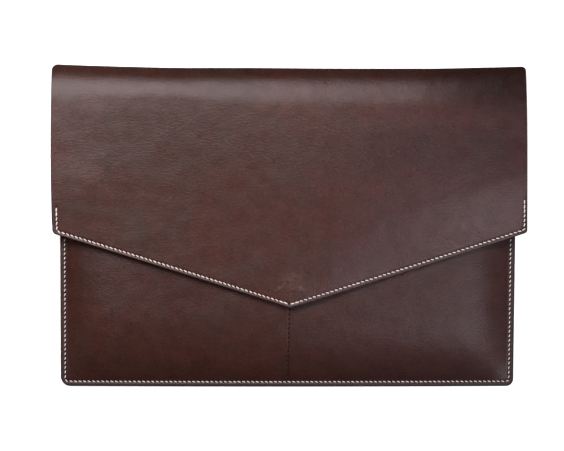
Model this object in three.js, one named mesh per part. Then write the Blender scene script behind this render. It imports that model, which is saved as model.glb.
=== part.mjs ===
// A flat leather laptop bag of two hides, lying on its back.
// X runs to the right, Y up the bag to the fold, Z out of the front. Millimetres.
import * as THREE from "three";

// The hide, and how two hides lie together
const LEATHER = 2.0;
const CLEARANCE = 0.3;
const SEAM = 5.5; // strip along the sides and the foot where front and back lie flat together

// The pocket: the back below the fold, and the front panel sewn to it
const POCKET = {
  footX: { left: -182.7, right: 179.75 },
  mouthX: { left: -183.8, right: 182.9 },
  footY: -128.6,
  mouthY: 94,
  footBow: 0.55, // the foot edge hangs this much lower in the middle than at its ends
  corner: { left: 8.0, right: 5.8 },
  depth: 13.5, // room between back and front panel over the middle
  flankSide: 32, // how far the front panel takes to rise from a side seam
  flankFoot: 45,
};

// The flap, as it is seen from the front
const FLAP = {
  halfWidth: { left: 190.6, right: 191.05 },
  widestY: 60,
  bowReach: 66, // this far above and below the widest place, its side edges draw in by their bow
  bowAbove: { left: 0.85, right: 1.2 },
  bowBelow: { left: 1.3, right: 0.1 },
  shoulderY: { left: -6.3, right: -5.7 },
  hemBow: { left: 0.35, right: -0.5 }, // how far the middle of each hem lies above a straight cut
  tipX: 1.3,
  tipY: -66.2,
  corner: { left: 3.0, right: 2.0 },
  stand: 2.6, // how far the flap stands off the front panel
  settle: { left: 48, middle: 110, right: 42 }, // the length over which it comes down from the fold
  hemLine: 3,
};

// Above the mouth the back flares from the pocket's width to the flap's width
const FLARE = { lowY: 92, highY: 112, notch: 0.6 };

// The fold: its outer radius and the height of its crest, in the middle of the bag.
// Its front rolls over more slowly than its back, the most so on the right.
const FOLD = {
  radius: 12.4,
  crestY: 125.7,
  leftRise: 0.56, // the crest of its left half is this much higher
  roll: { left: 14, right: 18 },
  cornerReach: 20,
};

// Towards each end the fold's crest climbs, and the fold and the flap's side flatten.
// There the flap settles lower than the fold by the drop, or higher if that is negative.
const FOLD_ENDS = {
  left: { climbFrom: 85, climb: 2.9, climbPower: 1.3, flatFrom: 95, radius: 11.0, drop: 2.0, corner: 4.4 },
  right: { climbFrom: 118, climb: 1.65, climbPower: 1.05, flatFrom: 100, radius: 9.8, drop: -0.8, corner: 2.7 },
};

// How finely the hides are divided
const EDGE_LINES = [0, 3, SEAM];
const BACK_LINES = [9.5, 60, 120, 180];
const DROOP_LINES = [12, 20, 28, 37, 48, 68, 100, 142];
const OVERHANG_SHARES = [1, 0.8];
const PLATEAU_SHARES = [0.15, 0.42, 0.7];
const FLAP_SHARES = [0.1, 0.22, 0.34, 0.46, 0.58, 0.72, 0.86];
const FLANK_STEPS = 8;
const FLARE_STEPS = 4;
const FOLD_STEPS = 12;

const clamp01 = (t) => Math.min(1, Math.max(0, t));
const smooth = (t) => clamp01(t) ** 2 * (3 - 2 * clamp01(t));
const arch = (t) => 1 - (1 - clamp01(t)) ** 2;
const mix = (from, to, share) => from + (to - from) * share;
const steps = (count, make) => Array.from({ length: count }, (_, step) => make((step + 1) / count));

const sideOf = (x) => (x < FLAP.tipX ? "left" : "right");
const signOf = (side) => (side === "left" ? -1 : 1);
const bowed = (share) => 4 * share * (1 - share);

// Side edges of the pocket at the height y
function pocketEdges(y) {
  const share = clamp01((y - POCKET.footY) / (POCKET.mouthY - POCKET.footY));
  const edge = (side) => mix(POCKET.footX[side], POCKET.mouthX[side], share);
  return { left: edge("left"), right: edge("right") };
}

// The foot edge, a very shallow bow
function footEdge(x) {
  const { left, right } = POCKET.footX;
  return POCKET.footY - POCKET.footBow * bowed((x - left) / (right - left));
}

// How far the flap reaches to one side at the height y
function flapHalfWidth(side, y) {
  const bow = y > FLAP.widestY ? FLAP.bowAbove : FLAP.bowBelow;
  return FLAP.halfWidth[side] - bow[side] * ((y - FLAP.widestY) / FLAP.bowReach) ** 2;
}

// The flap's lower edge: two nearly straight cuts that meet in the tip
function flapHem(x) {
  const side = sideOf(x);
  const shoulderY = FLAP.shoulderY[side];
  const shoulderX = signOf(side) * flapHalfWidth(side, shoulderY);
  const share = (x - FLAP.tipX) / (shoulderX - FLAP.tipX);
  return mix(FLAP.tipY, shoulderY, share) + FLAP.hemBow[side] * bowed(share);
}

// The fold at the place x: its outer radius, its crest and the length of its front,
// and how far below it and how high the flap settles
function foldAt(x) {
  const side = sideOf(x);
  const end = FOLD_ENDS[side];
  const shareFrom = (start) => clamp01((Math.abs(x) - start) / (FLAP.halfWidth[side] - start));
  const flat = 2 * smooth(shareFrom(end.flatFrom) / 2);
  const radius = mix(FOLD.radius, end.radius, flat);
  const climb = end.climb * shareFrom(end.climbFrom) ** end.climbPower;
  const crestY = FOLD.crestY + climb + FOLD.leftRise * smooth((50 - x) / 90);
  const roll = mix(FOLD.roll.left, FOLD.roll.right, smooth((x + 60) / 250));
  const settled = 3 * LEATHER + 2 * CLEARANCE + POCKET.depth + FLAP.stand;
  const flapTop = mix(settled, 2 * end.radius - end.drop, flat);
  const settle = mix(FLAP.settle.middle, FLAP.settle[side], smooth((Math.abs(x) - 60) / 120));
  return { radius, crestY, roll, startY: crestY - roll, flapTop, settle, corner: end.corner };
}

// Rounds the corner of two edges that a point lies at the distances a and b from.
// Lines beside the edges become arcs about one centre.
function roundCorner(a, b, radius) {
  const near = Math.min(a, b);
  const far = Math.max(a, b);
  if (far >= radius) return [a, b];
  const angle = (Math.PI / 4) * (1 - (far - near) / (radius - near));
  const nearRounded = radius - (radius - near) * Math.cos(angle);
  const farRounded = radius - (radius - near) * Math.sin(angle);
  return a <= b ? [nearRounded, farRounded] : [farRounded, nearRounded];
}

// A point inside the pocket's outline, by its distances from a side and from the foot
function pocketPoint(column, fromFoot) {
  if (column.side === "middle") return { x: FLAP.tipX, y: footEdge(FLAP.tipX) + fromFoot };
  const [inX, inY] = roundCorner(column.inset, fromFoot, POCKET.corner[column.side]);
  const y = POCKET.footY + inY;
  const x = pocketEdges(y)[column.side] - signOf(column.side) * inX;
  const shareUp = clamp01(fromFoot / (POCKET.mouthY - POCKET.footY));
  return { x, y: mix(footEdge(x) + inY, y, shareUp) };
}

// Grid columns from the left edge to the right edge, the same lines on both sides
function mirroredColumns(makeSide) {
  return [...makeSide("left"), { side: "middle" }, ...makeSide("right").reverse()];
}

// Closes two grids of points, the grain side and the flesh side of a hide, into one solid.
// Cells that keep(column, row) refuses are cut away.
function closeHide(grain, flesh, keep) {
  const columns = grain.length;
  const rows = grain[0].length;
  const index = (column, row) => column * rows + row;
  const positions = [...grain.flat(), ...flesh.flat()].flatMap((p) => [p.x, p.y, p.z]);
  const fleshStart = columns * rows;
  const faces = [];
  const rim = new Map();
  const quad = (a, b, c, d) => faces.push(a, b, c, a, c, d);
  for (let column = 0; column < columns - 1; column += 1) {
    for (let row = 0; row < rows - 1; row += 1) {
      if (!keep(column, row)) continue;
      const corners = [
        index(column, row),
        index(column, row + 1),
        index(column + 1, row + 1),
        index(column + 1, row),
      ];
      quad(...corners);
      quad(...corners.map((corner) => corner + fleshStart).reverse());
      corners.forEach((from, place) => {
        const to = corners[(place + 1) % corners.length];
        if (!rim.delete(`${to},${from}`)) rim.set(`${from},${to}`, [from, to]);
      });
    }
  }
  for (const [from, to] of rim.values()) quad(to, from, from + fleshStart, to + fleshStart);

  const geometry = new THREE.BufferGeometry();
  geometry.setAttribute("position", new THREE.Float32BufferAttribute(positions, 3));
  geometry.setIndex(faces);
  return geometry;
}

// Back and flap: one hide that lies flat, goes over in the fold and comes down in front
function backAndFlap() {
  const columns = mirroredColumns((side) => [
    ...OVERHANG_SHARES.map((share) => ({ side, overhang: share })),
    ...[...EDGE_LINES, ...DROOP_LINES].map((inset) => ({ side, inset })),
  ]);
  const mouthEdge = (column) => pocketEdges(POCKET.mouthY)[column.side];

  // Where a column runs at the height y, on a stretch whose width is given by its halves
  const across = (column, y, halfWidth) => {
    if (column.side === "middle") return FLAP.tipX;
    const sign = signOf(column.side);
    if (!column.overhang) return mouthEdge(column) - sign * column.inset;
    return mix(mouthEdge(column), sign * halfWidth(column.side, y), column.overhang);
  };
  const flapX = (column, y) => across(column, y, flapHalfWidth);
  const foldOf = (column) => foldAt(flapX(column, FOLD.crestY));

  const flareRow = (share) => (column) => {
    const y = mix(FLARE.lowY, FLARE.highY, share);
    const narrow = Math.abs(mouthEdge(column)) + FLARE.notch;
    const x = across(column, y, (side) => mix(narrow, flapHalfWidth(side, y), smooth(share)));
    return { x, y, z: 0, fleshY: y, fleshZ: LEATHER };
  };

  const backRows = [...EDGE_LINES, ...BACK_LINES].map((fromFoot) => (column) => {
    if (column.overhang) return flareRow(0)(column);
    const { x, y } = pocketPoint(column, fromFoot);
    return { x, y, z: 0, fleshY: y, fleshZ: LEATHER };
  });

  // Half a turn about the fold's middle line. Its ends are drawn in, so that the corners are round.
  const foldRow = (share) => (column) => {
    const fold = foldOf(column);
    const [up, out] = [-Math.cos(Math.PI * share), Math.sin(Math.PI * share)];
    const length = share <= 0.5 ? fold.radius : fold.roll;
    const middleY = fold.crestY - length;
    const y = middleY + length * out;
    const x = flapX(column, y);
    const over = clamp01((y - fold.crestY + fold.corner) / fold.corner);
    const atEnd = clamp01(1 - (flapHalfWidth(sideOf(x), y) - Math.abs(x)) / FOLD.cornerReach);
    const drawn = fold.corner * (1 - Math.sqrt(1 - over * over)) * atEnd;
    const inner = fold.radius - LEATHER;
    return {
      x: x - Math.sign(x) * drawn,
      y,
      z: fold.radius + fold.radius * up,
      fleshY: middleY + (length - LEATHER) * out,
      fleshZ: fold.radius + inner * up,
    };
  };

  const flapPoint = (x, y) => {
    const fold = foldAt(x);
    const down = smooth((fold.startY - y) / fold.settle);
    const z = mix(2 * fold.radius, fold.flapTop, down);
    return { x, y, z, fleshY: y, fleshZ: z - LEATHER };
  };
  const hemX = (column) => flapX(column, FLAP.shoulderY[column.side]);

  const flapRow = (share) => (column) => {
    const y = mix(foldOf(column).startY, flapHem(hemX(column)) + FLAP.hemLine, share);
    return flapPoint(flapX(column, y), y);
  };

  const hemRow = (fromHem) => (column) => {
    const side = sideOf(hemX(column));
    const half = flapHalfWidth(side, FLAP.shoulderY[side]);
    const [inX, inY] = roundCorner(half - Math.abs(hemX(column)), fromHem, FLAP.corner[side]);
    const x = signOf(side) * (half - inX);
    return flapPoint(x, flapHem(x) + inY);
  };

  const rows = [
    ...backRows,
    flareRow(0),
    ...steps(FLARE_STEPS, flareRow),
    foldRow(0),
    ...steps(FOLD_STEPS, foldRow),
    ...FLAP_SHARES.map(flapRow),
    hemRow(FLAP.hemLine),
    hemRow(0),
  ];
  const grid = columns.map((column) => rows.map((row) => row(column)));
  const grain = grid.map((line) => line.map(({ x, y, z }) => ({ x, y, z })));
  const flesh = grid.map((line) => line.map((p) => ({ x: p.x, y: p.fleshY, z: p.fleshZ })));

  const keep = (column, row) => {
    const beside = columns[column].overhang || columns[column + 1].overhang;
    return !beside || row >= backRows.length;
  };
  return closeHide(grain, flesh, keep);
}

// Front panel: flat along the seams, and arched between them over the room in the pocket
function frontPanel() {
  const flankLines = (flank) => steps(FLANK_STEPS, (share) => SEAM + flank * share ** 1.3);
  const plateauLines = (from, to) => PLATEAU_SHARES.map((share) => mix(from, to, share));
  const sideEnd = SEAM + POCKET.flankSide;
  const sideLines = [
    ...EDGE_LINES,
    ...flankLines(POCKET.flankSide),
    ...plateauLines(sideEnd, (POCKET.footX.right - POCKET.footX.left) / 2),
  ];
  const columns = mirroredColumns((side) => sideLines.map((inset) => ({ side, inset })));
  const mouth = POCKET.mouthY - POCKET.footY;
  const rows = [
    ...EDGE_LINES,
    ...flankLines(POCKET.flankFoot),
    ...plateauLines(SEAM + POCKET.flankFoot, mouth),
    mouth,
  ];

  const rise = (x, y) => {
    const edges = pocketEdges(y);
    const fromLeft = arch((x - edges.left - SEAM) / POCKET.flankSide);
    const fromRight = arch((edges.right - x - SEAM) / POCKET.flankSide);
    const fromFoot = arch((y - footEdge(x) - SEAM) / POCKET.flankFoot);
    return POCKET.depth * fromLeft * fromRight * fromFoot;
  };

  // The wall's thickness stands square on the slope, measured over one wall's thickness
  const wallAt = (x, y) => {
    const reach = LEATHER / 2;
    const slopeX = (rise(x + reach, y) - rise(x - reach, y)) / LEATHER;
    const slopeY = (rise(x, y + reach) - rise(x, y - reach)) / LEATHER;
    return new THREE.Vector3(-slopeX, -slopeY, 1).setLength(LEATHER);
  };

  const flesh = columns.map((column) =>
    rows.map((fromFoot) => {
      const { x, y } = pocketPoint(column, fromFoot);
      return new THREE.Vector3(x, y, LEATHER + CLEARANCE + rise(x, y));
    }).reverse(),
  );
  const grain = flesh.map((line) => line.map((p) => p.clone().add(wallAt(p.x, p.y))));
  return closeHide(grain, flesh, () => true);
}

function leatherPiece(name, geometry, color) {
  const material = new THREE.MeshStandardMaterial({ color, roughness: 0.45, metalness: 0 });
  const mesh = new THREE.Mesh(geometry, material);
  mesh.name = name;
  return mesh;
}

const bag = new THREE.Group();
bag.add(leatherPiece("back_and_flap", backAndFlap(), 0x5a3b38));
bag.add(leatherPiece("front_panel", frontPanel(), 0x4a302d));

// The middle of the outline is the origin, and the back lies on the plane Z = 0
const outline = new THREE.Box3().setFromObject(bag);
const middle = outline.getCenter(new THREE.Vector3());
bag.position.set(-middle.x, -middle.y, -outline.min.z);

export default bag;
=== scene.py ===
# A flat leather laptop bag of two hides, lying on its back with the flap uppermost.
# X runs to the right, Y up the bag to the fold and Z out of its front. Sizes are in millimetres until a mesh
# is laid. Materials, lights and the camera count in metres.
import math
from types import SimpleNamespace

import bpy
from mathutils import Matrix, Vector, kdtree, noise


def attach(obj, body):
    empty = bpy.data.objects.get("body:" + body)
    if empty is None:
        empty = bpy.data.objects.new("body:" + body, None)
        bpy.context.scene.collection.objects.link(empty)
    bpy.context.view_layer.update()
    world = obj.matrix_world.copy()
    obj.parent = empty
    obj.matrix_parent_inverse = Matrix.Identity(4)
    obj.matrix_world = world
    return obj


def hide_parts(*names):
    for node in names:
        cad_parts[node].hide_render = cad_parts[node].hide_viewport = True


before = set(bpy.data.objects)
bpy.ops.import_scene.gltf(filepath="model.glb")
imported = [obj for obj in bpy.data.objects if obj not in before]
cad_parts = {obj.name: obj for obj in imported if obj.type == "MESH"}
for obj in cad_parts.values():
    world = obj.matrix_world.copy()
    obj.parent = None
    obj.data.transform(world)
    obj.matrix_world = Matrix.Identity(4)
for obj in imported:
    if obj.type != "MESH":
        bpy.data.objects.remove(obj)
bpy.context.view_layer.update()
bpy.ops.object.select_all(action="DESELECT")


# Back and flap: one hide of smooth red-brown leather, 2 mm thick, cut to a point. It is the back of the
# pocket, goes over the top in a soft fold and comes down in front as the flap. Its cut edges are bevelled,
# dyed dark and burnished, and its flesh side is left rough.
MM = 0.001
SHIFT = Vector((-0.225, 0.0099, 0.0))  # brings the middle of the outline to the origin
LEATHER = 2.0
CLEARANCE = 0.3
SEAM_STRIP = 5.5  # along the sides and the foot, where the two hides lie flat together

# The back's edges round the pocket, and the room in it. The foot hangs lower in its middle by its bow.
pocket = SimpleNamespace(
    foot_x={"left": -182.7, "right": 179.75}, mouth_x={"left": -183.8, "right": 182.9},
    foot_y=-128.6, mouth_y=94.0, foot_bow=0.55, corner={"left": 8.0, "right": 5.8}, depth=13.5)

# The flap's edges: its sides draw in above and below their widest place, and its hems bow off a straight cut.
# It stands off the panel, comes down from the fold over the settling length, droops at its right hem and has
# a low bulge at its left side. The pairs are the places across the bag between which a value changes.
flap = SimpleNamespace(
    half_width={"left": 190.6, "right": 191.05}, widest_y=60.0, bow_reach=66.0,
    bow_above={"left": 0.85, "right": 1.2}, bow_below={"left": 1.3, "right": 0.1},
    shoulder_y={"left": -6.3, "right": -5.7}, hem_bow={"left": 0.35, "right": -0.5},
    tip_x=1.3, tip_y=-66.2, corner={"left": 3.0, "right": 2.0}, hem_top=7.0,
    stand=2.6, settle={"left": 80.0, "middle": 110.0, "right": 120.0}, settle_between=(60.0, 180.0),
    droop=4.2, droop_reach=50.0, droop_between=(0.0, 90.0))
bulge = SimpleNamespace(x=-170.0, y=32.0, width=45.0, length=26.0, height=1.1)

# Above the mouth the back flares from the pocket's width to the flap's, and its cut edge turns tightly there
flare = SimpleNamespace(low_y=92.0, high_y=112.0, notch=0.6, tight_from=89.0, tight_to=111.0)

# The fold's crest is a little higher on the left. The fold rolls over more slowly in front than behind, over
# a length that changes three times on the way from its left end to its right end.
fold = SimpleNamespace(
    radius=12.4, crest_y=125.7, left_rise=0.56, rise_between=(50.0, -40.0), corner_reach=20.0,
    left_end_roll=29.0)
roll_changes = [
    SimpleNamespace(roll=24.0, between=(-190.0, -120.0)),
    SimpleNamespace(roll=30.0, between=(-110.0, -20.0)),
    SimpleNamespace(roll=31.0, between=(70.0, 190.0)),
]

# Towards each end the fold's crest climbs and its radius shrinks. The flap there settles lower than the fold
# by the drop, or higher if that is negative.
fold_ends = {
    "left": SimpleNamespace(
        climb_from=85, climb=2.9, climb_power=1.3, flat_from=95, radius=11.0, drop=2.0, corner=4.4),
    "right": SimpleNamespace(
        climb_from=118, climb=1.65, climb_power=1.05, flat_from=100, radius=9.8, drop=-0.8, corner=2.7),
}


def clamp01(share):
    return min(1.0, max(0.0, share))


def smooth(share):
    share = clamp01(share)
    return share * share * (3 - 2 * share)


def ramp(value, start, end):
    """A smooth climb from 0 at start to 1 at end."""
    return smooth((value - start) / (end - start))


def mix(low, high, share):
    return low + (high - low) * share


def sign_of(side):
    return -1 if side == "left" else 1


def side_of(x):
    return "left" if x < flap.tip_x else "right"


def pocket_edge(side, y):
    share = clamp01((y - pocket.foot_y) / (pocket.mouth_y - pocket.foot_y))
    return mix(pocket.foot_x[side], pocket.mouth_x[side], share)


def foot_edge(x):
    across_foot = (x - pocket.foot_x["left"]) / (pocket.foot_x["right"] - pocket.foot_x["left"])
    return pocket.foot_y - pocket.foot_bow * 4 * across_foot * (1 - across_foot)


def flap_half_width(side, y):
    bow = flap.bow_above if y > flap.widest_y else flap.bow_below
    return flap.half_width[side] - bow[side] * ((y - flap.widest_y) / flap.bow_reach) ** 2


def flap_hem(x):
    side = side_of(x)
    shoulder_y = flap.shoulder_y[side]
    shoulder_x = sign_of(side) * flap_half_width(side, shoulder_y)
    share = (x - flap.tip_x) / (shoulder_x - flap.tip_x)
    return mix(flap.tip_y, shoulder_y, share) + flap.hem_bow[side] * 4 * share * (1 - share)


ripples = [
    SimpleNamespace(height=0.3, across=95, along=70, seed=3.7),
    SimpleNamespace(height=0.07, across=38, along=30, seed=9.1),
]


def ripple(x, y):
    """The slight unevenness of a hide that lies without a board under it."""
    places = [Vector((x / wave.across, y / wave.along, wave.seed)) for wave in ripples]
    return sum(wave.height * noise.noise(place) for wave, place in zip(ripples, places))


def fold_at(x):
    """The fold's size and place at x, and how the flap comes down from it there."""
    side = side_of(x)
    end = fold_ends[side]

    def share_from(start):
        return clamp01((abs(x) - start) / (flap.half_width[side] - start))

    flat = 2 * smooth(share_from(end.flat_from) / 2)
    radius = mix(fold.radius, end.radius, flat)
    crest_y = fold.crest_y + end.climb * share_from(end.climb_from) ** end.climb_power
    crest_y += fold.left_rise * ramp(x, *fold.rise_between)
    settled = 3 * LEATHER + 2 * CLEARANCE + pocket.depth + flap.stand
    flap_top = mix(settled, 2 * end.radius - end.drop, flat)
    settle = mix(flap.settle["middle"], flap.settle[side], ramp(abs(x), *flap.settle_between))
    roll = fold.left_end_roll
    for change in roll_changes:
        roll = mix(roll, change.roll, ramp(x, *change.between))
    return SimpleNamespace(radius=radius, crest_y=crest_y, roll=roll, start_y=crest_y - roll,
                           flap_top=flap_top, settle=settle, corner=end.corner)


def round_corner(a, b, radius):
    """Rounds the corner of two edges that a point lies at the distances a and b from."""
    near, far = min(a, b), max(a, b)
    if far >= radius:
        return a, b
    angle = math.pi / 4 * (1 - (far - near) / (radius - near))
    near_rounded = radius - (radius - near) * math.cos(angle)
    far_rounded = radius - (radius - near) * math.sin(angle)
    return (near_rounded, far_rounded) if a <= b else (far_rounded, near_rounded)


def pocket_point(side, inset, from_foot):
    """The place of a point of the pocket that lies so far in from its side edge and up from its foot."""
    in_x, in_y = round_corner(inset, from_foot, pocket.corner[side])
    y = pocket.foot_y + in_y
    x = pocket_edge(side, y) - sign_of(side) * in_x
    share_up = clamp01(from_foot / (pocket.mouth_y - pocket.foot_y))
    return x, mix(foot_edge(x) + in_y, y, share_up)


def hem_droop(x, y):
    """How far the right half of the flap hangs down towards its hem."""
    near_hem = clamp01(1 - (y - flap_hem(x)) / flap.droop_reach)
    return flap.droop * ramp(x - flap.tip_x, *flap.droop_between) * near_hem ** 1.5


def lifted(x, y):
    """A low bulge at the flap's left side, where a hand lifts it."""
    return bulge.height * math.exp(-((x - bulge.x) / bulge.width) ** 2 - ((y - bulge.y) / bulge.length) ** 2)


def flap_point(x, y):
    """The grain side of the flap at a place in front of the fold."""
    here = fold_at(x)
    down = smooth((here.start_y - y) / here.settle)
    z = mix(2 * here.radius, here.flap_top, down) + ripple(x, y) * down + lifted(x, y) - hem_droop(x, y)
    return Vector((x, y, z))


def steps(start, end, pitch):
    """Places from start, which is left out, to end, about a pitch apart."""
    count = max(1, round(abs(end - start) / pitch))
    return [mix(start, end, (step + 1) / count) for step in range(count)]


# The sheet's lines lie close together along its edges, where the seams are pressed in, and wider elsewhere
SEAM_LINES = [0, 0.9, 1.6, 2.1, 2.5, 2.9, 3.3, 3.7, 4.1, 4.5, 5.0, 5.5]
HEM_LINES = [5.6, 4.6, 3.9, 3.4, 3.0, 2.6, 2.2, 1.8, 1.2, 0.8, 0]
EDGE_ZONE = 12.0
MIDDLE_GAP = 2.5  # beside the line up the hide's middle
FLARE_GAP = 2.0  # below the first line of the flare
overhang_lines = {
    "left": [0, 1.0, 1.8, 2.4, 2.9, 3.3, 3.7, 4.1, 4.5, 5.1, 5.9],
    "right": [0, 0.9, 1.4, 1.8, 2.1, 2.4, 2.7, 3.1, 3.8, 5.0, 6.3],
}


def mouth_edge(side):
    return pocket_edge(side, pocket.mouth_y)


def hide_columns(side):
    """Lines up the hide from its edge to its middle: across the overhang, then across the pocket."""
    width = flap.half_width[side] - abs(mouth_edge(side))
    to_middle = abs(pocket_edge(side, pocket.foot_y) - flap.tip_x)
    body_lines = SEAM_LINES + steps(SEAM_STRIP, EDGE_ZONE, pitch=1.6)
    body_lines += steps(EDGE_ZONE, to_middle - MIDDLE_GAP, pitch=2.9)
    overhang_shares = [1 - line / width for line in overhang_lines[side]]
    overhang = [SimpleNamespace(side=side, share=share, inset=None) for share in overhang_shares]
    return overhang + [SimpleNamespace(side=side, share=None, inset=line) for line in body_lines]


def across(column, half):
    """Where a column runs at a height where the hide is so wide from its middle to its edge."""
    sign = sign_of(column.side)
    if column.share is not None:
        return mix(mouth_edge(column.side), sign * half, column.share)
    return mouth_edge(column.side) - sign * column.inset


def flap_x(column, y):
    return flap.tip_x if column.side == "middle" else across(column, flap_half_width(column.side, y))


def hem_x(column):
    return flap.tip_x if column.side == "middle" else flap_x(column, flap.shoulder_y[column.side])


def back_row(from_foot):
    """A row across the back, so far above its foot."""
    def place(column):
        if column.share is not None:
            return flare_row(0)(column)
        if column.side == "middle":
            return Vector((flap.tip_x, foot_edge(flap.tip_x) + from_foot, 0))
        return Vector((*pocket_point(column.side, column.inset, from_foot), 0))
    return place


def flare_row(share):
    """A row across the flare, at this share of its height."""
    def place(column):
        y = mix(flare.low_y, flare.high_y, share)
        if column.side == "middle":
            return Vector((flap.tip_x, y, 0))
        narrow = abs(mouth_edge(column.side)) + flare.notch
        return Vector((across(column, mix(narrow, flap_half_width(column.side, y), smooth(share))), y, 0))
    return place


def fold_row(share):
    """A row along the fold, at this share of the way over it from back to front."""
    def place(column):
        here = fold_at(flap_x(column, fold.crest_y))
        length = here.radius if share <= 0.5 else here.roll
        y = here.crest_y - length + length * math.sin(math.pi * share)
        x = flap_x(column, y)
        over = clamp01((y - here.crest_y + here.corner) / here.corner)
        at_end = clamp01(1 - (flap_half_width(side_of(x), y) - abs(x)) / fold.corner_reach)
        drawn = here.corner * (1 - math.sqrt(1 - over * over)) * at_end
        return Vector((x - math.copysign(drawn, x), y, here.radius - here.radius * math.cos(math.pi * share)))
    return place


def flap_row(share):
    """A row across the flap, at this share of the way from the fold down to just above the hem."""
    def place(column):
        high_y = fold_at(flap_x(column, fold.crest_y)).start_y
        y = mix(high_y, flap_hem(hem_x(column)) + flap.hem_top, share)
        return flap_point(flap_x(column, y), y)
    return place


def hem_row(from_hem):
    """A row along the hem, so far above it."""
    def place(column):
        x = hem_x(column)
        side = side_of(x)
        half = flap_half_width(side, flap.shoulder_y[side])
        in_x, in_y = round_corner(half - abs(x), from_hem, flap.corner[side])
        x = math.copysign(half - in_x, x)
        return flap_point(x, flap_hem(x) + in_y)
    return place


def select_where(piece, kind, test):
    """Leaves only those faces or edges selected that pass the test."""
    mesh = piece.data
    for part in (mesh.vertices, mesh.edges, mesh.polygons):
        part.foreach_set("select", [False] * len(part))
    for item in getattr(mesh, kind):
        item.select = test(item)


def pick(piece):
    """Makes this the one selected piece."""
    bpy.ops.object.select_all(action="DESELECT")
    piece.select_set(True)
    bpy.context.view_layer.objects.active = piece


def edit(piece, select_mode):
    pick(piece)
    bpy.ops.object.mode_set(mode="EDIT")
    bpy.ops.mesh.select_mode(type=select_mode)


def lay_grid(name, columns, rows, cut_away=None):
    """A sheet of square cells, some of them cut away, whose lines are laid where the columns and rows run."""
    bpy.ops.object.select_all(action="DESELECT")
    last_column, last_row = len(columns) - 1, len(rows) - 1
    bpy.ops.mesh.primitive_grid_add(x_subdivisions=last_column, y_subdivisions=last_row, size=1)
    sheet = bpy.context.object
    sheet.name = sheet.data.name = name
    if cut_away:
        select_where(sheet, "polygons", lambda cell: cut_away(
            int((cell.center.x + 0.5) * last_column), int((cell.center.y + 0.5) * last_row)))
        edit(sheet, "FACE")
        bpy.ops.mesh.delete(type="FACE")
        bpy.ops.object.mode_set(mode="OBJECT")
    for corner in sheet.data.vertices:
        column = columns[round((corner.co.x + 0.5) * last_column)]
        row = rows[round((corner.co.y + 0.5) * last_row)]
        corner.co = (row(column) + SHIFT) * MM
    return sheet


# The sheet's lines run from right to left, so that its upper side is the grain side
hide_lines = [*hide_columns("right"), SimpleNamespace(side="middle", share=None, inset=None)]
hide_lines += reversed(hide_columns("left"))
back_heights = SEAM_LINES + steps(SEAM_STRIP, EDGE_ZONE, pitch=2)
back_heights += steps(EDGE_ZONE, flare.low_y - pocket.foot_y - FLARE_GAP, pitch=9)
hide_rows = [back_row(height) for height in back_heights]
hide_rows += [flare_row(share) for share in [0, *steps(0, 1, pitch=1 / 8)]]
hide_rows += [fold_row(share) for share in [0, *steps(0, 1, pitch=1 / 26)]]
hide_rows += [flap_row(share) for share in steps(0, 1, pitch=1 / 68)]
hide_rows += [hem_row(height) for height in HEM_LINES]


def beside_pocket(column, row):
    """Beside the pocket there is no hide: the flap's overhang starts at the flare."""
    overhang = hide_lines[column].share is not None or hide_lines[column + 1].share is not None
    return overhang and row < len(back_heights)


back_and_flap = lay_grid("back_and_flap_hide", hide_lines, hide_rows, beside_pocket)

# The seams' lines, as flat paths so far in from the edges
STITCH_PITCH = 3.65
PATH_STEP = 0.1
flap_inset = {"left": 3.85, "right": 2.35}
hem_inset = {"left": 2.85, "right": 3.1}
pocket_inset = {"left": 3.6, "right": 3.58, "foot": 3.85}


def rounded(before, corner, after, reach):
    """Turns a sharp corner of a seam into a short curve."""
    start = corner + (before - corner).normalized() * reach
    end = corner + (after - corner).normalized() * reach
    shares = [step / 10 for step in range(11)]
    return [start.lerp(corner, s).lerp(corner.lerp(end, s), s) for s in shares]


def even_path(points):
    """The same line with points at even steps, PATH_STEP apart."""
    path = [points[0]]
    left_over = 0.0
    for start, end in zip(points, points[1:]):
        length = (end - start).length
        along = PATH_STEP - left_over
        while along <= length and length > 0:
            path.append(start.lerp(end, along / length))
            along += PATH_STEP
        left_over = length - (along - PATH_STEP)
    return path


def flap_seam(side, top_y, end_x):
    """The line of a flap's stitch row, from its side down to the shoulder and along the hem to the tip."""
    sign = sign_of(side)
    turn_gap = 2

    def on_side(y):
        return Vector((sign * (flap_half_width(side, y) - flap_inset[side]), y))

    def on_hem(x):
        return Vector((x, flap_hem(x) + hem_inset[side]))

    turn = on_hem(on_side(flap.shoulder_y[side] + hem_inset[side]).x)
    side_end, hem_start = turn.y + turn_gap, turn.x - sign * turn_gap
    side_points = [on_side(mix(top_y, side_end, share)) for share in [0, *steps(0, 1, pitch=0.1)]]
    hem_points = [on_hem(mix(hem_start, end_x, share)) for share in [0, *steps(0, 1, pitch=0.02)]]
    flat = side_points + rounded(side_points[-1], turn, hem_points[0], reach=1.6) + hem_points
    return [flap_point(*point) for point in even_path(flat)]


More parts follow.
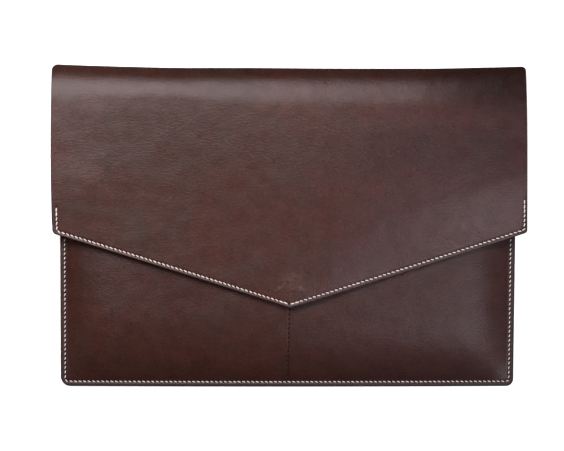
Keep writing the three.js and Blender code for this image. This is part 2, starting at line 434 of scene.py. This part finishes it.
def pocket_seam():
    """The line of the pocket's stitches, down the left side, along the foot and up the right side."""
    turn_gap = 3
    top_y = pocket.mouth_y - 2
    shares = [0, *steps(0, 1, pitch=0.02)]

    def on_side(side, y):
        return Vector((pocket_edge(side, y) - sign_of(side) * pocket_inset[side], y))

    def on_foot(x):
        return Vector((x, foot_edge(x) + pocket_inset["foot"]))

    turns = {side: on_foot(on_side(side, pocket.foot_y + pocket_inset["foot"]).x) for side in pocket.corner}
    sides = {side: [on_side(side, mix(top_y, turn.y + turn_gap, share)) for share in shares]
             for side, turn in turns.items()}
    foot_start, foot_end = turns["left"].x + turn_gap, turns["right"].x - turn_gap
    foot = [on_foot(mix(foot_start, foot_end, share)) for share in shares]
    flat = sides["left"] + rounded(sides["left"][-1], turns["left"], foot[0], reach=2.6) + foot
    flat += rounded(foot[-1], turns["right"], sides["right"][-1], reach=2.6) + sides["right"][::-1]
    return even_path(flat)


left_flap_seam = flap_seam("left", top_y=14.2, end_x=-0.7)
right_flap_seam = flap_seam("right", top_y=20.5, end_x=1.1)
pocket_line = pocket_seam()
back_seam = [Vector((*point, 0)) for point in pocket_line]

SEAM_GROOVE = 0.5
GROOVE_WIDTH = 0.75
FAR = 12.0


def nearest(points):
    """A finder of the closest of many points."""
    tree = kdtree.KDTree(len(points))
    for place, point in enumerate(points):
        tree.insert(point, place)
    tree.balance()
    return tree


def rim_points(sheet):
    """Points along the cut edge of a sheet that has no thickness yet."""
    uses = {}
    for cell in sheet.data.polygons:
        for key in cell.edge_keys:
            uses[key] = uses.get(key, 0) + 1
    shares = [step / 12 for step in range(12)]
    points = []
    for (a, b), count in uses.items():
        if count == 1:
            start, end = sheet.data.vertices[a].co / MM, sheet.data.vertices[b].co / MM
            points += [start.lerp(end, share) for share in shares]
    return points


def stitch_length(seam):
    """How many whole stitches fill a seam from end to end, and how many steps of its line each one takes."""
    count = round((len(seam) - 1) * PATH_STEP / STITCH_PITCH)
    return count, (len(seam) - 1) / count


def press_seams(sheet, seams, grooves):
    """Presses a groove under each stitch row, and notes how far each place is from the cut edge and a row."""
    mesh = sheet.data
    edge_finder = nearest(rim_points(sheet))
    runs = [place / stitch_length(seam)[1] for seam in seams for place in range(len(seam))]
    depths = [groove for seam, groove in zip(seams, grooves) for _ in seam]
    seam_finder = nearest([point + SHIFT for seam in seams for point in seam])
    notes = {name: [] for name in ("from_edge", "from_seam", "stitch_run", "pressed")}
    normals = [corner.normal.copy() for corner in mesh.vertices]
    for corner, normal in zip(mesh.vertices, normals):
        place = corner.co / MM
        from_edge = edge_finder.find(place)[2]
        _, index, from_seam = seam_finder.find(place)
        notes["from_edge"].append(min(from_edge, FAR))
        notes["from_seam"].append(min(from_seam, FAR))
        notes["stitch_run"].append(runs[index])
        notes["pressed"].append(depths[index] / SEAM_GROOVE)
        depth = depths[index] * math.exp(-((from_seam / GROOVE_WIDTH) ** 2))
        corner.co = (place - normal * depth) * MM
    for name, values in notes.items():
        mesh.attributes.new(name, "FLOAT", "POINT").data.foreach_set("value", values)


press_seams(back_and_flap, [left_flap_seam, right_flap_seam, back_seam], [SEAM_GROOVE] * 3)

EDGE_BEVEL = 0.5
SHARP_ANGLE = math.radians(38)


def thicken(sheet, kept_sharp=None):
    """Gives a sheet the hide's thickness below its grain side, and bevels the grain side's cut edge."""
    grain_corners = len(sheet.data.vertices)
    pick(sheet)
    wall = sheet.modifiers.new("hide", "SOLIDIFY")
    wall.thickness = LEATHER * MM
    wall.offset = -1
    bpy.ops.object.modifier_apply(modifier=wall.name)
    mesh = sheet.data
    flesh = [float(index >= grain_corners) for index in range(len(mesh.vertices))]
    mesh.attributes.new("flesh", "FLOAT", "POINT").data.foreach_set("value", flesh)

    walls = set()
    for face in mesh.polygons:
        sides = {index >= grain_corners for index in face.vertices}
        if len(sides) == 2:
            walls.update(key for key in face.edge_keys if max(key) < grain_corners)

    def bevelled(edge):
        ends = [mesh.vertices[index].co / MM - SHIFT for index in edge.vertices]
        sharp = kept_sharp and any(kept_sharp(end) for end in ends)
        return tuple(sorted(edge.vertices)) in walls and not sharp

    select_where(sheet, "edges", bevelled)
    edit(sheet, "EDGE")
    bpy.ops.mesh.bevel(offset=EDGE_BEVEL * MM, segments=3, affect="EDGES", clamp_overlap=False)
    bpy.ops.object.mode_set(mode="OBJECT")
    bpy.ops.object.shade_smooth_by_angle(angle=SHARP_ANGLE)


def on_flare(point):
    """The inner corners where the hide flares are too tight for a bevel."""
    return flare.tight_from < point.y < flare.tight_to and point.z < LEATHER


thicken(back_and_flap, on_flare)


class Finish:
    """One value, colour or vector on its way through the nodes of a material."""

    def __init__(self, tree, socket=None):
        self.tree = tree
        self.socket = socket

    def node(self, kind, settings=(), sockets=(), out=0):
        """Adds a node, gives it its settings and then its sockets, and carries on from one of its outputs."""
        made = self.tree.nodes.new(kind)
        for name, value in dict(settings).items():
            setattr(made, name, value)
        for name, value in dict(sockets).items():
            if isinstance(value, Finish):
                self.tree.links.new(value.socket, made.inputs[name])
            else:
                made.inputs[name].default_value = value
        return Finish(self.tree, made.outputs[out]) if made.outputs else None

    def math(self, operation, *values):
        return self.node("ShaderNodeMath", {"operation": operation}, enumerate(values))

    def __add__(self, other):
        return self.math("ADD", self, other)

    def __radd__(self, other):
        return self.math("ADD", other, self)

    def __sub__(self, other):
        return self.math("SUBTRACT", self, other)

    def __rsub__(self, other):
        return self.math("SUBTRACT", other, self)

    def __mul__(self, other):
        return self.math("MULTIPLY", self, other)

    def __rmul__(self, other):
        return self.math("MULTIPLY", other, self)

    def __pow__(self, other):
        return self.math("POWER", self, other)

    def __abs__(self):
        return self.math("ABSOLUTE", self)

    def rise(self, low, high):
        """0 below low, 1 above high and a smooth climb between them; the other way round if low is larger."""
        return self.node("ShaderNodeMapRange", {"interpolation_type": "SMOOTHSTEP"},
                         {"Value": self, "From Min": low, "From Max": high})

    def between(self, colour, other):
        """This share of the way from one colour to another."""
        return self.node("ShaderNodeMix", {"data_type": "RGBA"}, {0: self, 6: colour, 7: other}, 2)

    def shaded(self, factor):
        """This colour made lighter or darker."""
        return self.node("ShaderNodeVectorMath", {"operation": "SCALE"}, {0: self, "Scale": factor})

    def axis(self, name):
        """One of these coordinates."""
        return self.node("ShaderNodeSeparateXYZ", (), {"Vector": self}, name)

    def stretched(self, factors):
        """These coordinates, with a pattern on them made finer along each axis by its factor."""
        return self.node("ShaderNodeVectorMath", {"operation": "MULTIPLY"}, {0: self, 1: factors})

    def speckle(self, scale, detail, rough=0.5):
        """Soft noise over these coordinates, with so many lumps to a metre."""
        return self.node("ShaderNodeTexNoise", {"noise_dimensions": "3D"},
                         {"Vector": self, "Scale": scale, "Detail": detail, "Roughness": rough})


def new_finish(name):
    """An empty material, and the start of its nodes."""
    material = bpy.data.materials.new(name)
    material.use_nodes = True
    material.node_tree.nodes.clear()
    return material, Finish(material.node_tree)


def dress(piece, material):
    piece.data.materials.clear()
    piece.data.materials.append(material)


def note(finish, name):
    """A note that the mesh carries for each of its corners."""
    return finish.node("ShaderNodeAttribute", {"attribute_name": name}, (), "Fac")


def leather_finish(name, dye, dull, wrinkled, painted_shade, browned=None, rubbed=None, dark_rim=None):
    """Waxed, drum-dyed leather: cloudy dye, a fine grain, dark burnished edges and a rough flesh side."""
    material, finish = new_finish(name)
    place = finish.node("ShaderNodeTexCoord", (), (), "Object")
    x = place.axis("X")
    y = place.axis("Y")

    # The grain: fine furrows between small pebbles, pores, and wrinkles where the hide has been bent
    pebbles = finish.node("ShaderNodeTexVoronoi", {"feature": "DISTANCE_TO_EDGE"},
                          {"Vector": place.stretched((0.8, 1.25, 1)), "Scale": 620}, "Distance")
    furrow = pebbles.rise(0.2, 0.02)
    pores = place.speckle(1300, 2.0, 0.6)
    wrinkle = place.stretched((0.75, 1.9, 1)).speckle(380, 3.0, 0.65)
    creased = 0.72 + 0.48 * wrinkled(x, y, place)

    # The dye took unevenly: clouds from redder to browner leather, greyer towards the right, and lighter or
    # darker in small patches and in the grain
    clouds = place.speckle(22, 4.0, 0.55)
    patches = place.speckle(60, 3.0, 0.6)
    mottle = clouds * 0.55 + patches * 0.45 + 0.14 * x.rise(0.02, 0.17)
    if browned:
        mottle = mottle + 0.18 * browned(x, y)
    faded = x.rise(-0.05, 0.1).between(dye["brown"], dye["grey"])
    colour = mottle.rise(0.3, 0.7).between(dye["red"], faded)
    tone = place.speckle(80, 5.0, 0.62)
    shade = 1 + 0.8 * (tone - 0.5) + 0.8 * (pores - 0.5)
    shade = shade + creased * (wrinkle - 0.5) * 0.9 - furrow * 0.22
    # Painted shade: the colour is darkened wherever the caller's function asks
    colour = colour.shaded(shade * (1 - painted_shade(x, y)))

    # Wear on the grain side and a lighter margin along the hem, then painted shade in the groove and in the
    # awl's holes along a stitch row
    from_edge = note(finish, "from_edge")
    from_seam = note(finish, "from_seam")
    run = note(finish, "stitch_run")
    pressed = note(finish, "pressed")
    if rubbed:
        margin = from_edge.rise(0.5, 0.9) * from_edge.rise(2.6, 1.6)
        colour = rubbed(x, y, place, margin).between(colour, dye["worn"])
    groove = from_seam.rise(1.1, 0.45) * pressed
    colour = (groove * 0.9).between(colour, dye["dark"])
    to_hole = abs(run.math("FRACT", run + 0.5) - 0.5)
    hole = to_hole.rise(0.27, 0.15) * from_seam.rise(0.8, 0.4) * pressed
    # Painted shade: each hole is darkened to the colour of the dark edge dye
    colour = hole.between(colour, dye["edge"])

    # A darker rim between the stitch rows and the cut edges, burnished cut edges and the bare flesh side
    rim = from_edge.rise(2.6, 0.5) * from_seam.rise(5.5, 4.0)
    if dark_rim:
        rim = rim * dark_rim(x)
    colour = (rim * 0.8).between(colour, dye["dark"])
    burnish = from_edge.rise(0.6, 0.2)
    colour = (burnish * 0.9).between(colour, dye["edge"])
    nap = place.speckle(900, 3.0, 0.7)
    bare_flesh = note(finish, "flesh").rise(0.4, 0.6) * from_edge.rise(0.2, 0.5)
    colour = bare_flesh.between(colour, nap.between(dye["suede"], dye["suede_dark"]))

    gloss = dull + 0.13 * (patches - 0.5) + 0.06 * (clouds - 0.5) + 0.04 * furrow
    roughness = gloss + bare_flesh * 0.5 + (hole + rim) * 0.25
    relief = creased * wrinkle * 1.5 + pores * 0.35 - furrow * 0.3 + place.speckle(50, 1.0) * 6
    height = relief - hole + bare_flesh * nap * 0.6
    bump = finish.node("ShaderNodeBump", (), {"Height": height, "Strength": 0.26, "Distance": 0.00035})
    shader = finish.node("ShaderNodeBsdfPrincipled", (), {
        "Base Color": colour, "Roughness": roughness, "Normal": bump,
        "Specular IOR Level": 0.345, "Specular Tint": (1, 0.9, 0.91, 1)})
    finish.node("ShaderNodeOutputMaterial", (), {"Surface": shader})
    return material


hide_dye = {
    "red": (0.079, 0.023, 0.0165, 1),
    "brown": (0.0585, 0.0246, 0.0168, 1),
    "grey": (0.0615, 0.0236, 0.0192, 1),
    "dark": (0.012, 0.005, 0.004, 1),
    "edge": (0.008, 0.005, 0.0045, 1),
    "worn": (0.15, 0.085, 0.068, 1),
    "suede": (0.13, 0.075, 0.05, 1),
    "suede_dark": (0.075, 0.04, 0.027, 1),
}


def far_from(x, y, to_x, to_y):
    return ((x - to_x) * (x - to_x) + (y - to_y) * (y - to_y)) ** 0.5


def rubbed_flap(x, y, place, margin):
    """The flap is lighter along its hem margin, most on the left, and rubbed in a smudge and two strokes
    above its tip and in two dabs by its right shoulder."""
    on_hem = y.rise(0.006, -0.004) * y.rise(-0.072, -0.068)
    on_left = x.rise(0.02, -0.02)
    hem = margin * on_hem * (0.1 + 0.17 * on_left) * place.speckle(120, 2.0).rise(0.2, 0.6)
    ring = abs(far_from(x, y, 0.0008, -0.062) - 0.015).rise(0.0022, 0.0003)
    strokes = ring * y.rise(-0.0535, -0.0515) * abs(x - 0.0008).rise(0.004, 0.0075)
    smudge = far_from(x, y, 0.003, -0.046).rise(0.015, 0.002)
    dabs = far_from(x, y, 0.14, -0.0004).rise(0.005, 0.001)
    dabs = dabs + far_from(x, y, 0.151, 0.0036).rise(0.006, 0.001)
    marks = strokes * 0.5 + smudge * 0.38 + dabs * 0.3
    return hem + marks * place.speckle(420, 2.0).rise(0.3, 0.6)


def bent_flap(x, y, place):
    """The flap is wrinkled across its middle, where it bends when it is lifted, most on the left."""
    across_middle = y.rise(0.01, 0.05) * y.rise(0.1, 0.072)
    return across_middle * x.rise(0.13, -0.01) * place.speckle(12, 2.0).rise(0.25, 0.55)


def brown_cloud(x, y):
    """The dye took browner across the left of the flap."""
    return x.rise(-0.185, -0.13) * x.rise(-0.01, -0.08) * y.rise(0.025, 0.065) * y.rise(0.115, 0.09)


def dark_sides(x):
    return abs(x).rise(0.178, 0.187)


def painted_fold_shade(x, y):
    """Painted shade over the fold, the most and the furthest down at its right end, and a broad band of
    painted shade across the right of the flap."""
    fold_shade_strength = 0.28 + 0.25 * x.rise(-0.2, -0.02) + 0.12 * x.rise(0.0, 0.16)
    at_fold = (y + 0.018 * x.rise(0.08, 0.18)).rise(0.09, 0.135) * fold_shade_strength
    right_shade = x.rise(0.02, 0.09) * y.rise(0.025, 0.055) * y.rise(0.088, 0.066)
    return at_fold + right_shade * 0.25


# The hide's finish carries painted shade on the fold and across the right of the flap
dress(back_and_flap, leather_finish(
    "oxblood_hide", hide_dye, dull=0.245, wrinkled=bent_flap, painted_shade=painted_fold_shade,
    browned=brown_cloud, rubbed=rubbed_flap, dark_rim=dark_sides))
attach(back_and_flap, "root")
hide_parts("back_and_flap")


# Front panel: the front of the pocket, a piece of the same leather. It is glued and sewn to the back along
# its sides and its foot, and arched between them over the room for the laptop. Its mouth is open under the
# flap.
GLUE_LINE = 0.06
panel = SimpleNamespace(
    flank_side=50.0, flank_foot=62.0, sag=2.2, slack={"left": 3.0, "right": 1.4}, slack_reach=150.0)
centre_seam = SimpleNamespace(top=Vector((1.0, -40.0)), foot=Vector((-1.0, -124.0)))
CENTRE_LINES = [0.35, 0.75, 1.2, 1.8, 2.6]
CENTRE_STRIP = 4.4
CENTRE_GROOVE = 0.1


def arch(share):
    return 1 - (1 - clamp01(share)) ** 3


def centre_x(y):
    share_up = clamp01((y - centre_seam.foot.y) / (centre_seam.top.y - centre_seam.foot.y))
    return mix(centre_seam.foot.x, centre_seam.top.x, share_up)


def panel_rise(x, y):
    """How far the panel stands off its seams. It sags over the laptop's room, most towards its sides."""
    from_left = arch((x - pocket_edge("left", y) - SEAM_STRIP) / panel.flank_side)
    from_right = arch((pocket_edge("right", y) - x - SEAM_STRIP) / panel.flank_side)
    from_foot = arch((y - foot_edge(x) - SEAM_STRIP) / panel.flank_foot)
    level = from_left * from_right * from_foot
    slack = panel.sag + panel.slack[side_of(x)] * (x / panel.slack_reach) ** 2
    return (pocket.depth - slack + ripple(x, y)) * level


def panel_point(x, y):
    """The grain side of the panel over a place of its flesh side, and the way that it faces."""
    reach = LEATHER / 2
    slope_x = (panel_rise(x + reach, y) - panel_rise(x - reach, y)) / LEATHER
    slope_y = (panel_rise(x, y + reach) - panel_rise(x, y - reach)) / LEATHER
    facing = Vector((-slope_x, -slope_y, 1)).normalized()
    return Vector((x, y, LEATHER + GLUE_LINE + panel_rise(x, y))) + facing * LEATHER, facing


def panel_columns(side):
    """Lines up the panel from its side edge to the stitch row in its middle."""
    flank_end = SEAM_STRIP + panel.flank_side
    to_centre = abs(pocket.foot_x[side] - centre_seam.foot.x) - CENTRE_STRIP
    lines = SEAM_LINES + steps(SEAM_STRIP, flank_end, pitch=1.6) + steps(flank_end, to_centre, pitch=2.8)
    beside = [SimpleNamespace(side="middle", off=sign_of(side) * line) for line in reversed(CENTRE_LINES)]
    return [SimpleNamespace(side=side, inset=line) for line in lines] + beside


def panel_row(from_foot):
    """A row across the panel, so far above its foot."""
    def place(column):
        if column.side == "middle":
            y = foot_edge(centre_seam.foot.x) + from_foot
            return panel_point(centre_x(y) + column.off, y)[0]
        return panel_point(*pocket_point(column.side, column.inset, from_foot))[0]
    return place


panel_lines = [*panel_columns("left"), SimpleNamespace(side="middle", off=0.0)]
panel_lines += reversed(panel_columns("right"))
flank_top = SEAM_STRIP + panel.flank_foot
panel_heights = SEAM_LINES + steps(SEAM_STRIP, flank_top, pitch=1.8)
panel_heights += steps(flank_top, pocket.mouth_y - pocket.foot_y, pitch=3.0)
front_panel = lay_grid("front_panel_hide", panel_lines, [panel_row(height) for height in panel_heights])
front_seam = [panel_point(*point)[0] for point in pocket_line]
centre_line = [panel_point(*point)[0] for point in even_path([centre_seam.top, centre_seam.foot])]
press_seams(front_panel, [front_seam, centre_line], [SEAM_GROOVE, CENTRE_GROOVE])
thicken(front_panel)


def seldom_bent(x, y, place):
    return place.speckle(14, 2.0).rise(0.4, 0.8)


def painted_foot_shade(x, y):
    """Painted shade towards the foot."""
    return 0.3 * y.rise(-0.1, -0.13)


panel_dye = dict(
    hide_dye, red=(0.063, 0.0175, 0.0122, 1), brown=(0.05, 0.0188, 0.0128, 1), grey=(0.05, 0.0182, 0.0148, 1))
# The panel's finish carries painted shade towards its foot
dress(front_panel, leather_finish(
    "oxblood_panel", panel_dye, dull=0.285, wrinkled=seldom_bent, painted_shade=painted_foot_shade))
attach(front_panel, "root")
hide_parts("front_panel")


# Stitches: saddle stitching by hand with two needles and a waxed linen thread, cream along the edges and dark
# brown down the middle of the panel. Each stitch dives into a slit at its two ends, and all of them slant the
# same way, as the awl's slits do.
stitch_size = Vector((3.05, 1.03, 0.95))
END_DIP = 0.3
SLANT = math.radians(-17)
by_hand = SimpleNamespace(length=0.08, width=0.1, slant=0.12)  # how uneven the stitches are
bold = SimpleNamespace(stretch=Vector((1.18, 1.15, 1.1)), slant=0.3)  # where they are sewn double
FRONT_SINK = 0.12
BACK_SINK = 0.55
CENTRE_SINK = 0.1


def one_stitch():
    """A single stitch, made from a ball that is drawn out, with blunt ends that dip."""
    bpy.ops.object.select_all(action="DESELECT")
    bpy.ops.mesh.primitive_uv_sphere_add(segments=8, ring_count=6, radius=0.5)
    stitch = bpy.context.object
    edit(stitch, "VERT")
    bpy.ops.mesh.select_all(action="SELECT")
    bpy.ops.transform.rotate(value=math.pi / 2, orient_axis="Y", center_override=(0, 0, 0))
    bpy.ops.object.mode_set(mode="OBJECT")
    for corner in stitch.data.vertices:
        along = corner.co.x * 2
        blunt = math.copysign(abs(along) ** 0.8, along)
        full = 1 / max(0.35, math.sqrt(max(0.0, 1 - along * along))) ** 0.35
        corner.co = Vector((blunt / 2 * stitch_size.x, corner.co.y * full * stitch_size.y,
                            corner.co.z * full * stitch_size.z - END_DIP * blunt * blunt)) * MM
    return stitch


def sew(name, rows):
    """Copies the stitch along rows of places, each with its direction, facing, slant and stretch."""
    pattern = one_stitch()
    copies = []
    for place, along, facing, slant, stretch in rows:
        side = facing.cross(along).normalized()
        along = side.cross(facing).normalized()
        turn = Matrix((along, side, facing)).transposed() @ Matrix.Rotation(slant, 3, "Z")
        turn = turn @ Matrix.Diagonal(stretch)
        copy = pattern.copy()
        copy.data = pattern.data.copy()
        copy.data.transform(Matrix.Translation((place + SHIFT) * MM) @ turn.to_4x4())
        bpy.context.scene.collection.objects.link(copy)
        copies.append(copy)
    bpy.data.objects.remove(pattern)
    bpy.ops.object.select_all(action="DESELECT")
    for copy in copies:
        copy.select_set(True)
    bpy.context.view_layer.objects.active = copies[0]
    bpy.ops.object.join()
    thread = bpy.context.object
    thread.name = thread.data.name = name
    bpy.ops.object.shade_smooth()
    return thread


def stitch_row(seam, facing_at, sink, size=1.0, doubled=()):
    """Where the stitches of one seam go. Those that are sewn double lie straighter and stand bolder."""
    count, per_stitch = stitch_length(seam)
    reach = int(per_stitch / 2)
    for number in range(count):
        middle = int((number + 0.5) * per_stitch)
        along = seam[min(middle + reach, len(seam) - 1)] - seam[middle - reach]
        facing = facing_at(seam[middle])
        uneven = noise.noise(seam[middle] * 0.9)
        slant = SLANT
        stretch = Vector((1 + by_hand.length * uneven, 1 + by_hand.width * uneven, 1))
        if number in doubled or number - count in doubled:
            slant = SLANT * bold.slant
            stretch = bold.stretch
        yield seam[middle] - facing * sink, along, facing, slant + by_hand.slant * uneven, stretch * size


def thread_finish(name, pale, soiled_and_shaded, shine):
    """Waxed linen thread: two strands twisted together with painted shade between them, a little dirty in
    patches and darker at its ends.
    """
    material, finish = new_finish(name)
    place = finish.node("ShaderNodeTexCoord", (), (), "Object")
    strand = finish.node("ShaderNodeTexCoord", (), (), "UV")
    round_it = strand.axis("X")
    along_it = strand.axis("Y")
    twist = finish.math("SINE", (round_it * 2 + along_it * 3) * math.tau) * 0.5 + 0.5
    dirt = place.speckle(260, 2.0).rise(0.45, 0.75)
    ends = abs(along_it - 0.5).rise(0.3, 0.48)
    colour = (dirt * 0.2 + ends * 0.4).between(pale, soiled_and_shaded)
    # Painted shade between the two strands
    colour = ((1 - twist) * 0.15).between(colour, soiled_and_shaded)
    bump = finish.node("ShaderNodeBump", (), {"Height": twist, "Strength": 0.5, "Distance": 0.0001})
    shader = finish.node("ShaderNodeBsdfPrincipled", (), {
        "Base Color": colour, "Roughness": 0.62 + 0.1 * dirt, "Normal": bump, "Specular IOR Level": shine})
    finish.node("ShaderNodeOutputMaterial", (), {"Surface": shader})
    return material


def flap_facing(point):
    slope_x = (flap_point(point.x + 1, point.y).z - flap_point(point.x - 1, point.y).z) / 2
    slope_y = (flap_point(point.x, point.y + 1).z - flap_point(point.x, point.y - 1).z) / 2
    return Vector((-slope_x, -slope_y, 1)).normalized()


def panel_facing(point):
    return panel_point(point.x, point.y)[1]


def front_facing(point):
    return Vector((0, 0, 1))


def back_facing(point):
    return Vector((0, 0, -1))


cream = thread_finish("cream_linen", (1.0, 0.845, 0.78, 1), (0.58, 0.4, 0.335, 1), shine=0.4)
flap_rows = [
    *stitch_row(left_flap_seam, flap_facing, FRONT_SINK, size=1.04, doubled={0, 1, -1, -2}),
    *stitch_row(right_flap_seam, flap_facing, FRONT_SINK, size=0.98, doubled={0, 1, 2, -1, -2}),
]
flap_stitches = sew("flap_stitches", flap_rows)
dress(flap_stitches, cream)
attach(flap_stitches, "root")

pocket_rows = [
    *stitch_row(front_seam, front_facing, FRONT_SINK, size=0.86),
    *stitch_row(back_seam, back_facing, BACK_SINK),
]
pocket_stitches = sew("pocket_stitches", pocket_rows)
dress(pocket_stitches, cream)
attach(pocket_stitches, "root")

# The middle row is drawn in tight, so that little more than a dot of each stitch shows
drawn_in = Vector((0.72, 1.25, 0.8))
# Its thread is darkened past its own dark brown, as painted shade of the holes that these dots stand in for
brown = thread_finish("brown_linen_and_hole_shade", (0.024, 0.01, 0.008, 1), (0.013, 0.0055, 0.0045, 1), shine=0.03)
centre_stitches = sew("centre_stitches", stitch_row(centre_line, panel_facing, CENTRE_SINK, size=drawn_in))
dress(centre_stitches, brown)
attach(centre_stitches, "root")


# Floor: a plain white table that the bag lies on. It isn't part of the bag, and the leather's gloss doesn't
# mirror it.
bpy.ops.object.select_all(action="DESELECT")
bpy.ops.mesh.primitive_plane_add(size=40, location=(0, 0, -0.0004))
floor = bpy.context.object
floor.name = "floor"
white, finish = new_finish("white_table")
table = finish.node("ShaderNodeBsdfPrincipled", (), {"Base Color": (0.9, 0.9, 0.9, 1), "Roughness": 0.9})
finish.node("ShaderNodeOutputMaterial", (), {"Surface": table})
dress(floor, white)
floor.visible_glossy = False


# Light and camera: a wide soft box over the bag's top left with a brighter core, a smaller one over its lower
# right, a broad faint fill from the right and a dim pale room. The camera looks straight down through a long
# lens.
def soft_box(name, place, width, height, radiance, colour=(1, 1, 1)):
    """A rectangle that shines down, equally bright all over, and that the camera doesn't see."""
    lamp = bpy.data.lights.new(name, "AREA")
    lamp.shape = "RECTANGLE"
    lamp.size = width
    lamp.size_y = height
    lamp.energy = radiance * math.pi * width * height
    lamp.color = colour
    box = bpy.data.objects.new(name, lamp)
    box.location = place
    box.visible_camera = False
    bpy.context.scene.collection.objects.link(box)
    return box


KEY_TURN = math.radians(9)
key_light = soft_box("key_light", (-0.163, 0.4, 0.72), 0.555, 0.5, radiance=5.4)
key_light.rotation_euler.z = KEY_TURN
key_core = soft_box("key_core", (-0.28, 0.275, 0.72), 0.35, 0.25, radiance=9.9, colour=(0.96, 0.94, 1.0))
key_core.rotation_euler.z = KEY_TURN
soft_box("side_light", (0.31, -0.155, 0.70), 0.4, 0.23, radiance=4.3, colour=(0.9, 0.89, 1.0))
fill_light = soft_box("fill_light", (1.1, -0.85, 0.95), 1.7, 1.1, radiance=0.75, colour=(0.88, 0.95, 1.0))
fill_light.rotation_euler = (-fill_light.location).to_track_quat("-Z", "Y").to_euler()

room = bpy.data.worlds.new("room")
room.use_nodes = True
room_light = room.node_tree.nodes["Background"]
room_light.inputs["Color"].default_value = (1, 1, 1, 1)
room_light.inputs["Strength"].default_value = 0.08
bpy.context.scene.world = room
bpy.context.scene.view_settings.view_transform = "Standard"

# A lamp for the table alone keeps it white round the bag
table_only = bpy.data.collections.new("table_only")
table_only.objects.link(floor)
table_lamp = bpy.data.lights.new("table_light", "SUN")
table_lamp.energy = 2.7
table_light = bpy.data.objects.new("table_light", table_lamp)
table_light.light_linking.receiver_collection = table_only
table_light.light_linking.blocker_collection = table_only
bpy.context.scene.collection.objects.link(table_light)

PICTURE_WIDTH = 0.4512  # across the picture, at the height of the bag's front
PICTURE_MIDDLE_X = -0.00544
FRONT_HEIGHT = 0.02
CAMERA_HEIGHT = 10.0
lens = bpy.data.cameras.new("camera")
lens.sensor_width = 36
lens.lens = lens.sensor_width * (CAMERA_HEIGHT - FRONT_HEIGHT) / PICTURE_WIDTH
lens.clip_end = 100
camera = bpy.data.objects.new("camera", lens)
camera.location = (PICTURE_MIDDLE_X + SHIFT.x * MM, SHIFT.y * MM, CAMERA_HEIGHT)
bpy.context.scene.collection.objects.link(camera)
bpy.context.scene.camera = camera
